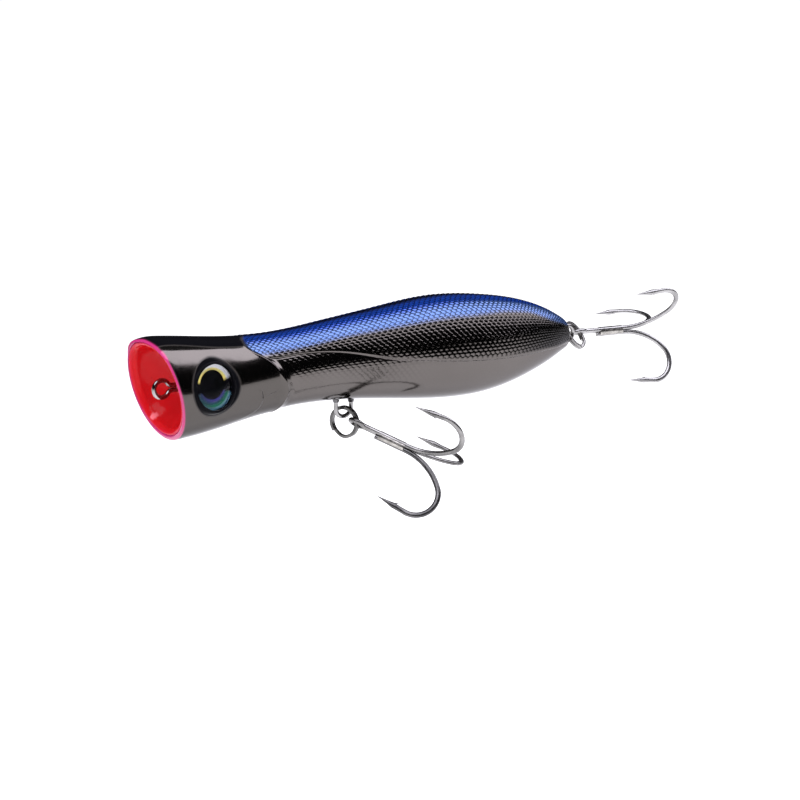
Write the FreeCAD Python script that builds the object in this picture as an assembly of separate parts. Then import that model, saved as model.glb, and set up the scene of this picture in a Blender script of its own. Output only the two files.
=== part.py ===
import FreeCAD, Part
import math
import os
from FreeCAD import Vector

# A 150 mm topwater popper: a hollow two-part moulded body with a red cup in its
# mouth, one through-wire from line tie to tail, two split rings and two trebles.
#
# Frame: origin at the centre of the line tie's eye, nose towards -X, tail towards
# +X, back towards +Z.  The lure's left side is -Y.  Millimetres throughout.

X_AXIS = Vector(1, 0, 0)
Y_AXIS = Vector(0, 1, 0)
Z_AXIS = Vector(0, 0, 1)
BIG = 400.0

# ---- body shell --------------------------------------------------------------
# Stations along the body: x, half-height, height of the section's centre.
STATIONS = [
    (-6.0, 14.75, 0.20),
    (-2.4, 14.60, 0.10),
    (16.0, 12.75, -0.05),
    (35.0, 10.90, 0.90),
    (54.0, 11.55, 1.80),
    (73.0, 13.45, 1.85),
    (91.0, 15.25, 1.60),
    (110.0, 14.65, 0.90),
    (129.0, 10.55, 0.90),
    (137.0, 7.55, 0.65),
    (143.5, 4.40, 0.20),
]
SECTION_STEP = 4.0              # spacing of the lofted sections
WIDTH_RATIO = 0.936             # a section's width over its height
WALL = 1.8
TAIL_EDGE_RADIUS = 1.2
CAVITY_FROM = 13.5
CAVITY_TO = 134.0

# ---- mouth -------------------------------------------------------------------
FACE_CENTRE = Vector(-2.0, 0, 0.6)
FACE_TILT = 13.0                # degrees; the top lip stands forward
CUP_HALF_HEIGHT = 14.0          # of the cup's rim, in the plane of the mouth
CUP_HALF_WIDTH = 12.95
CUP_RIM_THICKNESS = 1.4
CUP_RIM_RECESS = 0.35
BOWL_HALF_HEIGHT = 12.3
BOWL_HALF_WIDTH = 11.3
BOWL_DEPTH = 9.0
BOWL_WALL = 1.2

# ---- through-wire --------------------------------------------------------------
WIRE_RADIUS = 0.65
WIRE_FIT = 0.02                 # clearance of the moulded channel round the wire
LANE = 0.70                     # height of the two parallel wires beside the axis
NOSE_EYE_RADIUS = 2.35          # to the middle of the wire
TAIL_EYE_RADIUS = 2.45
TAIL_EYE_X = 145.2
EYE_NECK_RADIUS = 1.4
NOSE_END_X = 22.0
TAIL_END_X = 130.0
HANGER_X = 59.95
HANGER_HALF_WIDTH = 2.65
HANGER_BOTTOM_Z = -15.35        # middle of the wire at the bottom of the U
HANGER_CORNER_RADIUS = 1.8

# ---- eyes ------------------------------------------------------------------------
EYE_X = 9.3
EYE_Z = 1.4
EYE_RADIUS = 6.2
EYE_SOCKET_RADIUS = 6.95
EYE_SOCKET_HEIGHT = 0.25        # above the surface at the eye's centre
EYE_POCKET_DEPTH = 2.4
IRIS_THICKNESS = 0.6
LENS_CROWN = 0.75               # the dome's top above the surface
LENS_SPHERE_RADIUS = 13.0

# ---- inside ----------------------------------------------------------------------
# Ribs: x from, x to, lowest z, highest z.
RIBS = [
    (23.0, 25.5, -BIG, BIG),
    (38.5, 45.5, -BIG, BIG),
    (54.5, 65.5, -BIG, 4.5),
    (74.5, 81.5, -BIG, BIG),
    (86.5, 89.5, -BIG, 4.0),
    (102.0, 105.0, -BIG, 4.0),
    (108.5, 115.5, -BIG, BIG),
    (118.5, 121.0, -BIG, 4.0),
    (128.5, 131.0, -BIG, BIG),
]
BALL_RADIUS = 2.5
CELL_RADIUS = 2.58
# Rattle cells: name, x, z, half-length of the bore across the body.
CELLS = [
    ("rattle_ball_front", 42.0, 5.0, 6.6),
    ("rattle_ball_middle", 78.0, 6.6, 8.6),
    ("rattle_ball_rear", 112.0, 6.4, 9.0),
]
# Ballast slugs: name, x from, x to, z, radius.
BALLAST = [
    ("belly_ballast", 85.0, 106.5, -7.0, 4.8),
    ("tail_ballast", 117.0, 132.5, -4.9, 3.0),
]
BALLAST_FIT = 0.02
DOWEL_RADIUS = 1.0
DOWEL_FIT = 0.05
DOWEL_LENGTH = 2.5
DOWELS = [(12.0, 7.5), (12.0, -7.5), (42.0, -5.6), (61.0, 2.6), (78.0, -7.6), (112.0, -8.2), (137.5, 3.6)]

# ---- seals -------------------------------------------------------------------------
NOSE_SEAL_RADIUS = 2.2
NOSE_SEAL_TO = 12.0
COLLAR_RADIUS = 1.15
COLLAR_TIP_RADIUS = 0.85
COLLAR_HEIGHT = 0.9
COLLAR_ROOT = 1.6
TAIL_SEAL_RADIUS = 2.3
TAIL_SEAL_DEPTH = 2.6

# ---- split rings ----------------------------------------------------------------------
RING_OUTER_RADIUS = 4.75
RING_INNER_RADIUS = 3.75
RING_THICKNESS = 1.4
RING_EDGE = 0.2
RING_GROOVE = 0.12
# centre, azimuth and elevation of the ring's axis
BELLY_RING = (Vector(60.0, -0.4, -16.9), 202.0, 0.0)
TAIL_RING = (Vector(149.24, 0.89, -1.17), -63.2, 35.5)

# ---- treble hooks -----------------------------------------------------------------------
HOOK_WIRE_RADIUS = 0.7
HOOK_OFFSET = 0.85              # each wire's middle beside the treble's axis
HOOK_SHANK = 16.3
HOOK_FLARE_RADIUS = 17.1
HOOK_FLARE_ANGLE = 49.4
HOOK_BEND_RADIUS = 6.3
HOOK_TOTAL_TURN = 185.4
HOOK_POINT = 9.15
HOOK_TAPER = 3.8
HOOK_TIP_RADIUS = 0.06
BARB_FROM_TIP = 3.4
BARB_LENGTH = 1.9
BARB_HEIGHT = 0.5
BARB_THICKNESS = 0.5
HOOK_EYE_RADIUS = 2.02
HOOK_EYE_NECK_RADIUS = 1.6
SINGLE_HOOK_START = 6.4
BRAZE_RADIUS = 1.4
BRAZE_FROM = 7.4
BRAZE_TO = 15.4
# For each treble: its ring, the angle round the ring where it hangs, the slack
# between the ring's wire and the middle of the hook's eye, azimuth, downward
# pitch and roll of the shank.
BELLY_TREBLE = (BELLY_RING, 179.0, 0.0, -51.6, 22.2, 147.6)
TAIL_TREBLE = (TAIL_RING, 174.3, 0.3, -13.7, -0.7, 159.0)


# ---- small helpers ----------------------------------------------------------------------
def natural_spline(xs, ys):
    """A function of x: the natural cubic spline through the points."""
    n = len(xs)
    second = [0.0] * n
    work = [0.0] * n
    for i in range(1, n - 1):
        share = (xs[i] - xs[i - 1]) / (xs[i + 1] - xs[i - 1])
        scale = share * second[i - 1] + 2.0
        slope_after = (ys[i + 1] - ys[i]) / (xs[i + 1] - xs[i])
        slope_before = (ys[i] - ys[i - 1]) / (xs[i] - xs[i - 1])
        bend = 6.0 * (slope_after - slope_before) / (xs[i + 1] - xs[i - 1])
        second[i] = (share - 1.0) / scale
        work[i] = (bend - share * work[i - 1]) / scale
    for i in range(n - 2, -1, -1):
        second[i] = second[i] * second[i + 1] + work[i]

    def value(x):
        i = max(k for k in range(n - 1) if k == 0 or xs[k] <= x)
        h = xs[i + 1] - xs[i]
        a = (xs[i + 1] - x) / h
        b = (x - xs[i]) / h
        cubic = (a ** 3 - a) * second[i] + (b ** 3 - b) * second[i + 1]
        return a * ys[i] + b * ys[i + 1] + cubic * h * h / 6.0

    return value


STATION_X = [s[0] for s in STATIONS]
half_height = natural_spline(STATION_X, [s[1] for s in STATIONS])
centre_height = natural_spline(STATION_X, [s[2] for s in STATIONS])


def direction(azimuth, elevation):
    """Unit vector from an azimuth about +Z and an elevation, in degrees."""
    a = math.radians(azimuth)
    e = math.radians(elevation)
    return Vector(math.cos(a) * math.cos(e), math.sin(a) * math.cos(e), math.sin(e))


def unit(v):
    return v * (1.0 / v.Length)


def box(x0, x1, y0, y1, z0, z1):
    return Part.makeBox(x1 - x0, y1 - y0, z1 - z0, Vector(x0, y0, z0))


def cylinder(radius, start, end):
    axis = end - start
    return Part.makeCylinder(radius, axis.Length, start, axis)


def trace(start, heading, moves):
    """Edges of a smooth path: ("line", length) or ("arc", radius, degrees, side)."""
    edges = []
    for move in moves:
        if move[0] == "line":
            end = start + heading * move[1]
            edges.append(Part.LineSegment(start, end).toShape())
        else:
            radius, angle = move[1], math.radians(move[2])
            side = unit(move[3] - heading * move[3].dot(heading))
            centre = start + side * radius
            points = []
            for t in (0.5 * angle, angle):
                points.append(centre - side * radius * math.cos(t) + heading * radius * math.sin(t))
            end = points[1]
            edges.append(Part.Arc(start, points[0], end).toShape())
            heading = unit(heading * math.cos(angle) + side * math.sin(angle))
        start = end
    return edges, start, heading


def sweep_round(edges, radius):
    """A round wire along tangent edges that are given in order."""
    path = Part.Wire(edges)
    first = edges[0]
    start = first.valueAt(first.FirstParameter)
    heading = first.tangentAt(first.FirstParameter)
    if len(edges) > 1:
        other_end = first.valueAt(first.LastParameter)
        second = edges[1]
        ends = [second.valueAt(second.FirstParameter), second.valueAt(second.LastParameter)]
        if min(start.distanceToPoint(p) for p in ends) < min(other_end.distanceToPoint(p) for p in ends):
            start = other_end
            heading = first.tangentAt(first.LastParameter)
    profile = Part.Wire(Part.Circle(start, heading, radius).toShape())
    return path.makePipeShell([profile], True, False)


def neck(radius, neck_radius, lane):
    """Angle and length of the neck that leads two parallel wires into an eye."""
    angle = math.acos((lane + neck_radius) / (radius + neck_radius))
    return math.degrees(angle), (radius + neck_radius) * math.sin(angle)


def eye_moves(radius, neck_radius, lane, side):
    """From one wire out along its neck, round the eye and back to the other wire."""
    angle, _ = neck(radius, neck_radius, lane)
    return [
        ("arc", neck_radius, angle, side),
        ("arc", radius, 180.0 + 2.0 * angle, side * -1.0),
        ("arc", neck_radius, angle, side * -1.0),
    ]


def in_face_frame(shape):
    """Moves a shape built about X at the origin to the mouth."""
    moved = shape.copy()
    moved.rotate(Vector(0, 0, 0), Y_AXIS, -FACE_TILT)
    moved.translate(FACE_CENTRE)
    return moved


# ---- body --------------------------------------------------------------------------------
def lofted_body(x_from, x_to, inset):
    """Elliptical sections from x_from to x_to, drawn in by inset."""
    count = max(2, int(round((x_to - x_from) / SECTION_STEP)) + 1)
    wires = []
    for i in range(count):
        x = x_from + (x_to - x_from) * i / (count - 1)
        centre = Vector(x, 0, centre_height(x))
        ring = Part.Circle(centre, X_AXIS, half_height(x) - inset).toShape()
        ring.rotate(centre, X_AXIS, 45.0)
        wires.append(Part.Wire(ring))
    solid = Part.makeLoft(wires, True, False)
    squeeze = FreeCAD.Matrix()
    squeeze.scale(1.0, WIDTH_RATIO, 1.0)
    return solid.transformGeometry(squeeze)


def ellipsoid(depth, half_width, half_height_):
    """An ellipsoid at the mouth, its depth along the mouth's axis."""
    ball = Part.makeSphere(1.0)
    stretch = FreeCAD.Matrix()
    stretch.scale(depth, half_width, half_height_)
    return in_face_frame(ball.transformGeometry(stretch))


def elliptic_disc(half_width, half_height_, depth_from, depth_to):
    disc = Part.makeCylinder(1.0, depth_to - depth_from, Vector(depth_from, 0, 0), X_AXIS)
    stretch = FreeCAD.Matrix()
    stretch.scale(1.0, half_width, half_height_)
    return in_face_frame(disc.transformGeometry(stretch))


def ahead_of_mouth(depth):
    """Everything in front of a plane that lies depth behind the mouth's face."""
    return in_face_frame(box(-BIG, depth, -BIG, BIG, -BIG, BIG))


def outer_body():
    body = lofted_body(STATION_X[0] - 2.0, STATION_X[-1], 0.0)
    tail_edge = [e for e in body.Edges if e.BoundBox.XMin > STATION_X[-1] - 0.1]
    body = body.makeFillet(TAIL_EDGE_RADIUS, tail_edge)
    body = body.cut(ahead_of_mouth(0.0))
    return body


def eye_frame(side):
    """Surface point and outward normal at an eye; side is -1 left, +1 right."""
    r = half_height(EYE_X)
    up = EYE_Z - centre_height(EYE_X)
    y = WIDTH_RATIO * math.sqrt(r * r - up * up)
    step = 0.5
    slope = (half_height(EYE_X + step) - half_height(EYE_X - step)) / (2.0 * step)
    normal = unit(Vector(-slope * WIDTH_RATIO, y / (WIDTH_RATIO ** 2 * r) * WIDTH_RATIO, up / r * WIDTH_RATIO))
    point = Vector(EYE_X, y, EYE_Z)
    if side < 0:
        point.y = -point.y
        normal.y = -normal.y
    return point, normal


def eye_socket(side):
    """The raised rim and the round pocket of one eye."""
    point, normal = eye_frame(side)
    rim = cylinder(EYE_SOCKET_RADIUS, point - normal * 3.0, point + normal * EYE_SOCKET_HEIGHT)
    pocket = cylinder(EYE_RADIUS, point - normal * EYE_POCKET_DEPTH, point + normal * 6.0)
    return rim, pocket


def eye_parts(side):
    point, normal = eye_frame(side)
    floor = point - normal * EYE_POCKET_DEPTH
    iris_top = floor + normal * IRIS_THICKNESS
    iris = cylinder(EYE_RADIUS, floor, iris_top)
    crown = point + normal * LENS_CROWN
    dome = Part.makeSphere(LENS_SPHERE_RADIUS, crown - normal * LENS_SPHERE_RADIUS)
    lens = cylinder(EYE_RADIUS, iris_top, crown + normal).common(dome)
    return iris, lens


def mouth_cup():
    """The red insert: an elliptical bowl with a flat rim."""
    rim_front = CUP_RIM_RECESS
    rim_back = CUP_RIM_RECESS + CUP_RIM_THICKNESS
    rim = elliptic_disc(CUP_HALF_WIDTH, CUP_HALF_HEIGHT, rim_front, rim_back)
    shell = ellipsoid(BOWL_DEPTH + BOWL_WALL, BOWL_HALF_WIDTH + BOWL_WALL, BOWL_HALF_HEIGHT + BOWL_WALL)
    shell = shell.cut(ahead_of_mouth(rim_front))
    hollow = ellipsoid(BOWL_DEPTH, BOWL_HALF_WIDTH, BOWL_HALF_HEIGHT)
    return rim.fuse(shell).cut(hollow)


def mouth_pocket():
    """The space in the body that takes the cup and the mouth in front of it."""
    rim_back = CUP_RIM_RECESS + CUP_RIM_THICKNESS
    mouth = elliptic_disc(CUP_HALF_WIDTH, CUP_HALF_HEIGHT, -10.0, rim_back)
    bowl = ellipsoid(BOWL_DEPTH + BOWL_WALL, BOWL_HALF_WIDTH + BOWL_WALL, BOWL_HALF_HEIGHT + BOWL_WALL)
    return mouth.fuse(bowl)


# ---- through-wire -----------------------------------------------------------------------
def through_wire_edges():
    nose_angle, nose_neck = neck(NOSE_EYE_RADIUS, EYE_NECK_RADIUS, LANE)
    tail_angle, tail_neck = neck(TAIL_EYE_RADIUS, EYE_NECK_RADIUS, LANE)
    corner = HANGER_CORNER_RADIUS
    half = HANGER_HALF_WIDTH
    leg = -LANE - corner - (HANGER_BOTTOM_Z + half)
    first_run = (HANGER_X - half - corner) - nose_neck
    second_run = (TAIL_EYE_X - tail_neck) - (HANGER_X + half + corner)
    moves = [("line", NOSE_END_X - nose_neck)]
    moves += eye_moves(NOSE_EYE_RADIUS, EYE_NECK_RADIUS, LANE, Z_AXIS)
    moves += [
        ("line", first_run),
        ("arc", corner, 90.0, Z_AXIS * -1.0),
        ("line", leg),
        ("arc", half, 180.0, X_AXIS),
        ("line", leg),
        ("arc", corner, 90.0, X_AXIS),
        ("line", second_run),
    ]
    moves += eye_moves(TAIL_EYE_RADIUS, EYE_NECK_RADIUS, LANE, Z_AXIS * -1.0)
    moves += [("line", TAIL_EYE_X - tail_neck - TAIL_END_X)]
    edges, _, _ = trace(Vector(NOSE_END_X, 0, LANE), X_AXIS * -1.0, moves)
    return edges


# ---- seals ------------------------------------------------------------------------------
def nose_seal(wire):
    """Epoxy bead that closes the cup and the nose block round the wire."""
    bowl_floor = FACE_CENTRE + direction(0.0, FACE_TILT) * BOWL_DEPTH
    plug = cylinder(NOSE_SEAL_RADIUS, Vector(bowl_floor.x - 0.9, 0, 0), Vector(NOSE_SEAL_TO, 0, 0))
    return plug.cut(wire)


def leg_collars(wire):
    """Tapered epoxy collars where the hanger's legs leave the belly."""
    collars = []
    for x in (HANGER_X - HANGER_HALF_WIDTH, HANGER_X + HANGER_HALF_WIDTH):
        belly = centre_height(x) - half_height(x)
        top = Vector(x, 0, belly + COLLAR_ROOT)
        down = Z_AXIS * -1.0
        root = Part.makeCylinder(COLLAR_RADIUS, COLLAR_ROOT, top, down)
        tip = Part.makeCone(COLLAR_RADIUS, COLLAR_TIP_RADIUS, COLLAR_HEIGHT, Vector(x, 0, belly), down)
        collars.append(root.fuse(tip).removeSplitter().cut(wire))
    return Part.makeCompound([s for c in collars for s in c.Solids])


def tail_seal(wire):
    end = STATION_X[-1]
    plug = cylinder(TAIL_SEAL_RADIUS, Vector(end - TAIL_SEAL_DEPTH, 0, 0), Vector(end + 0.15, 0, 0))
    return plug.cut(wire)


# ---- assembling the body ------------------------------------------------------------------
def rib_blocks():
    blocks = [box(x0, x1, -BIG, BIG, z0, z1) for x0, x1, z0, z1 in RIBS]
    return Part.makeCompound(blocks)


def body_halves(tools):
    """Left and right halves, hollow between the ribs; tools are cut from both."""
    solid = outer_body()
    cavity = lofted_body(CAVITY_FROM, CAVITY_TO, WALL).cut(rib_blocks())
    solid = solid.cut(cavity)
    pockets = []
    for side in (-1, 1):
        rim, pocket = eye_socket(side)
        solid = solid.fuse(rim)
        pockets.append(pocket)
    solid = solid.cut(ahead_of_mouth(0.0))
    for tool in pockets + tools:
        solid = solid.cut(tool)
    left = solid.common(box(-BIG, BIG, -BIG, 0.0, -BIG, BIG))
    right = solid.common(box(-BIG, BIG, 0.0, BIG, -BIG, BIG))
    for x, z in DOWELS:
        foot = Vector(x, -0.5, z)
        left = left.fuse(cylinder(DOWEL_RADIUS, foot, Vector(x, DOWEL_LENGTH, z)))
        hole_end = Vector(x, DOWEL_LENGTH + 0.3, z)
        right = right.cut(cylinder(DOWEL_RADIUS + DOWEL_FIT, Vector(x, -0.5, z), hole_end))
    return largest(left), largest(right)


def largest(shape):
    """The main solid of a shape, without slivers."""
    return max(shape.Solids, key=lambda s: s.Volume)


def ballast_slug(x0, x1, z, radius):
    slug = cylinder(radius, Vector(x0, 0, z), Vector(x1, 0, z))
    return slug.makeChamfer(0.6, [e for e in slug.Edges if e.Closed and e.Length > radius])


# ---- rings --------------------------------------------------------------------------------
def ring_frame(ring):
    """Centre, axis, horizontal direction and upward direction of a ring."""
    centre, azimuth, elevation = ring
    axis = direction(azimuth, elevation)
    across = unit(axis.cross(Z_AXIS))
    upward = unit(across.cross(axis))
    if upward.z < 0:
        upward = upward * -1.0
    return centre, axis, across, upward


def split_ring(ring):
    """Two flat coils of wire side by side, with a groove between them."""
    inner, outer = RING_INNER_RADIUS, RING_OUTER_RADIUS
    half, edge, groove = 0.5 * RING_THICKNESS, RING_EDGE, RING_GROOVE
    outline = [
        (inner, -half + edge), (inner + edge, -half), (outer - edge, -half), (outer, -half + edge),
        (outer, -groove), (outer - groove, 0.0), (outer, groove), (outer, half - edge),
        (outer - edge, half), (inner + edge, half), (inner, half - edge), (inner, groove),
        (inner + groove, 0.0), (inner, -groove),
    ]
    points = [Vector(r, 0, h) for r, h in outline]
    face = Part.Face(Part.makePolygon(points + points[:1]))
    solid = face.revolve(Vector(0, 0, 0), Z_AXIS, 360.0)
    centre, axis, _, _ = ring_frame(ring)
    solid.Placement = FreeCAD.Placement(centre, FreeCAD.Rotation(Z_AXIS, axis))
    return solid


def ring_wire_point(ring, angle):
    """Point in the middle of the ring's wire at an angle round the ring."""
    centre, _, across, upward = ring_frame(ring)
    a = math.radians(angle)
    middle = 0.5 * (RING_INNER_RADIUS + RING_OUTER_RADIUS)
    return centre + (across * math.cos(a) + upward * math.sin(a)) * middle


def ring_tangent(ring, angle):
    _, _, across, upward = ring_frame(ring)
    a = math.radians(angle)
    return upward * math.cos(a) - across * math.sin(a)


# ---- treble hooks ----------------------------------------------------------------------------
def treble_frame(treble):
    """Origin at the middle of the eye, shank direction and the three radial directions."""
    ring, angle, slack, azimuth, pitch, roll = treble
    shank = direction(azimuth, -pitch)
    sideways = unit(shank.cross(Z_AXIS))
    upward = sideways.cross(shank)
    radials = []
    for k in range(3):
        a = math.radians(roll + 120.0 * k)
        radials.append(upward * math.cos(a) + sideways * math.sin(a))
    origin = ring_wire_point(ring, angle) - shank * slack
    # The eye's middle lies between the two wires of the double hook.
    origin = origin - (radials[1] + radials[2]) * (0.5 * HOOK_OFFSET)
    return origin, shank, radials


def hook_moves(radial, shank_length):
    return [
        ("line", shank_length),
        ("arc", HOOK_FLARE_RADIUS, HOOK_FLARE_ANGLE, radial),
        ("arc", HOOK_BEND_RADIUS, HOOK_TOTAL_TURN - HOOK_FLARE_ANGLE, radial),
        ("line", HOOK_POINT - HOOK_TAPER),
    ]


def hook_tip(end, heading, radial):
    """Tapered point with a barb on the side that faces the shank."""
    point = Part.makeCone(HOOK_WIRE_RADIUS, HOOK_TIP_RADIUS, HOOK_TAPER, end, heading)
    tip = end + heading * HOOK_TAPER
    inward = unit((radial - heading * radial.dot(heading)) * -1.0)
    across = heading.cross(inward)
    root = tip - heading * BARB_FROM_TIP
    start = root + inward * 0.3
    corner = root - heading * BARB_LENGTH + inward * (HOOK_WIRE_RADIUS + BARB_HEIGHT)
    heel = root - heading * (0.7 * BARB_LENGTH) + inward * 0.3
    lift = across * (-0.5 * BARB_THICKNESS)
    outline = Part.makePolygon([p + lift for p in (start, corner, heel, start)])
    barb = Part.Face(outline).extrude(across * BARB_THICKNESS)
    return point, barb


def hook_path(treble, k, start):
    """Edges of hook k from a distance along the shank to the foot of its point."""
    origin, shank, radials = treble_frame(treble)
    begin = origin + shank * start + radials[k] * HOOK_OFFSET
    return trace(begin, shank, hook_moves(radials[k], HOOK_SHANK - start))


def double_hook(treble):
    """One wire bent into two hooks, with the treble's eye between them."""
    origin, shank, radials = treble_frame(treble)
    lane = 0.5 * (radials[1] - radials[2]).Length * HOOK_OFFSET
    side = unit(radials[1] - radials[2])
    _, neck_length = neck(HOOK_EYE_RADIUS, HOOK_EYE_NECK_RADIUS, lane)
    first, end_1, heading_1 = hook_path(treble, 1, neck_length)
    second, end_2, heading_2 = hook_path(treble, 2, neck_length)
    begin = origin + shank * neck_length + radials[1] * HOOK_OFFSET
    moves = eye_moves(HOOK_EYE_RADIUS, HOOK_EYE_NECK_RADIUS, lane, side)
    eye, _, _ = trace(begin, shank * -1.0, moves)
    solid = sweep_round(first[::-1] + eye + second, HOOK_WIRE_RADIUS)
    for end, heading, radial in ((end_1, heading_1, radials[1]), (end_2, heading_2, radials[2])):
        solid = solid.fuse(hook_tip(end, heading, radial))
    return largest(solid)


def single_hook(treble):
    """The third hook, whose shank ends beside the other two."""
    _, _, radials = treble_frame(treble)
    edges, end, heading = hook_path(treble, 0, SINGLE_HOOK_START)
    solid = sweep_round(edges, HOOK_WIRE_RADIUS)
    return largest(solid.fuse(hook_tip(end, heading, radials[0])))


def braze(treble):
    """Braze metal between the three shanks."""
    origin, shank, radials = treble_frame(treble)
    core = cylinder(BRAZE_RADIUS, origin + shank * BRAZE_FROM, origin + shank * BRAZE_TO)
    for radial in radials:
        wire = cylinder(HOOK_WIRE_RADIUS, origin + radial * HOOK_OFFSET,
                        origin + radial * HOOK_OFFSET + shank * HOOK_SHANK)
        core = core.cut(wire)
    return largest(core)


# ---- everything --------------------------------------------------------------------------------
def make_nodes():
    nodes = {}
    edges = through_wire_edges()
    wire = sweep_round(edges, WIRE_RADIUS)
    channel = sweep_round(edges, WIRE_RADIUS + WIRE_FIT)
    nodes["through_wire"] = wire
    nodes["nose_seal"] = nose_seal(wire)
    nodes["belly_leg_collars"] = leg_collars(wire)
    nodes["tail_seal"] = tail_seal(wire)
    nose_hole = cylinder(NOSE_SEAL_RADIUS, Vector(0, 0, 0), Vector(NOSE_SEAL_TO, 0, 0))
    nodes["mouth_cup"] = largest(mouth_cup().cut(nose_hole))
    tools = [mouth_pocket(), nose_hole, channel]
    for name, x0, x1, z, radius in BALLAST:
        nodes[name] = ballast_slug(x0, x1, z, radius)
        tools.append(cylinder(radius + BALLAST_FIT, Vector(x0, 0, z), Vector(x1, 0, z)))
    for name, x, z, half_length in CELLS:
        nodes[name] = Part.makeSphere(BALL_RADIUS, Vector(x, 0, z))
        tools.append(cylinder(CELL_RADIUS, Vector(x, -half_length, z), Vector(x, half_length, z)))
    for collar_x in (HANGER_X - HANGER_HALF_WIDTH, HANGER_X + HANGER_HALF_WIDTH):
        belly = centre_height(collar_x) - half_height(collar_x)
        root = Vector(collar_x, 0, belly + COLLAR_ROOT)
        tools.append(cylinder(COLLAR_RADIUS, root, root - Z_AXIS * 4.0))
    end = STATION_X[-1]
    tools.append(cylinder(TAIL_SEAL_RADIUS, Vector(end - TAIL_SEAL_DEPTH, 0, 0), Vector(end + 5.0, 0, 0)))
    nodes["body_half_left"], nodes["body_half_right"] = body_halves(tools)
    for label, side in (("left", -1), ("right", 1)):
        nodes[label + "_eye_iris"], nodes[label + "_eye_lens"] = eye_parts(side)
    for label, ring, treble in (("belly", BELLY_RING, BELLY_TREBLE), ("tail", TAIL_RING, TAIL_TREBLE)):
        nodes[label + "_split_ring"] = split_ring(ring)
        nodes[label + "_treble_double_hook"] = double_hook(treble)
        nodes[label + "_treble_single_hook"] = single_hook(treble)
        nodes[label + "_treble_braze"] = braze(treble)
    return nodes


def report_joint_places():
    """Prints where the joints of the rings and trebles are."""
    for name, ring, treble in (("belly", BELLY_RING, BELLY_TREBLE), ("tail", TAIL_RING, TAIL_TREBLE)):
        point = ring_wire_point(ring, treble[1])
        tangent = ring_tangent(ring, treble[1])
        print(name, "hook pivot", tuple(round(v, 4) for v in point), "axis", tuple(round(v, 5) for v in tangent))


def main():
    os.makedirs("parts", exist_ok=True)
    for name, shape in make_nodes().items():
        shape.exportStep("parts/" + name + ".step")
        print(f"{name:28s} solids {len(shape.Solids)} valid {shape.isValid()} volume {shape.Volume:10.2f} mm3")
    report_joint_places()


main()
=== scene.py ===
import math

import bmesh
import bpy
import numpy as np
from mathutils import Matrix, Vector


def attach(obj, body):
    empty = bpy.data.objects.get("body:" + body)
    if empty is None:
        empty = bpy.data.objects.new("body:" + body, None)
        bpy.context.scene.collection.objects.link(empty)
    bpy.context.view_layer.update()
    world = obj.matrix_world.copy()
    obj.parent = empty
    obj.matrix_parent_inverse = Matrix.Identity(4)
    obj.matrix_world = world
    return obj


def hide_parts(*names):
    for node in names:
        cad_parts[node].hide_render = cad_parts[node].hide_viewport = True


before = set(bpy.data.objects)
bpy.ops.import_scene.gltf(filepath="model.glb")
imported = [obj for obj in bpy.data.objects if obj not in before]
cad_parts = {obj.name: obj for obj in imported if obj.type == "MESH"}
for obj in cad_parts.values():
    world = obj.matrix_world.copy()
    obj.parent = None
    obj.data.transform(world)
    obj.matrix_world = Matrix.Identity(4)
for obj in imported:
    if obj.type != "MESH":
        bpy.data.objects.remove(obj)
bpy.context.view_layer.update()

# Looks of a topwater popper. Lengths are millimetres in the row's frame: origin at
# the centre of the line tie's eye, nose towards -X, back towards +Z, left side -Y.
MM = 0.001
X_AXIS = np.array([1.0, 0.0, 0.0])
Z_AXIS = np.array([0.0, 0.0, 1.0])
SIDES = ((-1, "left"), (1, "right"))

# ---- body ----
# Stations along the body: x, half-height, height of the section's centre.
STATIONS = [
    (-6.0, 14.75, 0.20), (-2.4, 14.60, 0.10), (16.0, 12.75, -0.05), (35.0, 10.90, 0.90),
    (54.0, 11.55, 1.80), (73.0, 13.45, 1.85), (91.0, 15.25, 1.60), (110.0, 14.65, 0.90),
    (129.0, 10.55, 0.90), (137.0, 7.55, 0.65), (143.5, 4.40, 0.20),
]
WIDTH_RATIO = 0.936
WALL = 1.8
TAIL_X = 143.5
TAIL_EDGE = 1.2
SEAM_GAP = 0.008  # half the hairline between the two halves
SLANT_LENGTH = 26.0  # over which the columns' slant fades
INNER_START = 4.0  # x where the inner wall begins
HEAD_CELL = 0.42  # grid of the shell's mesh on the smooth head
SCALE_CELL = 0.235  # and where the scales are
INNER_COLUMNS = 40

# ---- mouth ----
FACE_CENTRE = np.array([-2.0, 0.0, 0.6])
FACE_TILT = math.radians(13.0)
LIP_HALF_WIDTH = 13.1  # inside of the body's lip, outside of the cup's rim
LIP_HALF_HEIGHT = 13.85
POCKET_DEPTH = 1.8
POCKET_TAPER = 0.5
BOWL_HALF_WIDTH = 11.3
BOWL_HALF_HEIGHT = 12.3
BOWL_DEPTH = 9.0
BOWL_WALL = 1.2
LIP_ROUND = 0.28  # of the lip's outer edge, at the sides
LIP_ROUND_TOP = 1.55  # and at the top
LIP_ROUND_LENGTH = 2.4
LIP_ROUND_LENGTH_TOP = 6.5
LIP_TOP_DROP = 0.95  # the pocket and the rim lie this much lower at the top
UPPER_LIP = (35.0, 85.0)  # angles where the lip changes from its side to its top
# Columns of the shell's mesh behind the lip.
LIP_COLUMNS = [0.0, 0.04, 0.12, 0.25, 0.42, 0.65, 0.95, 1.35]
# share from the lip's outer to its inner edge, depth
LIP_CROWN = [(0.12, -0.10), (0.5, -0.16), (0.88, -0.08)]
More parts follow.
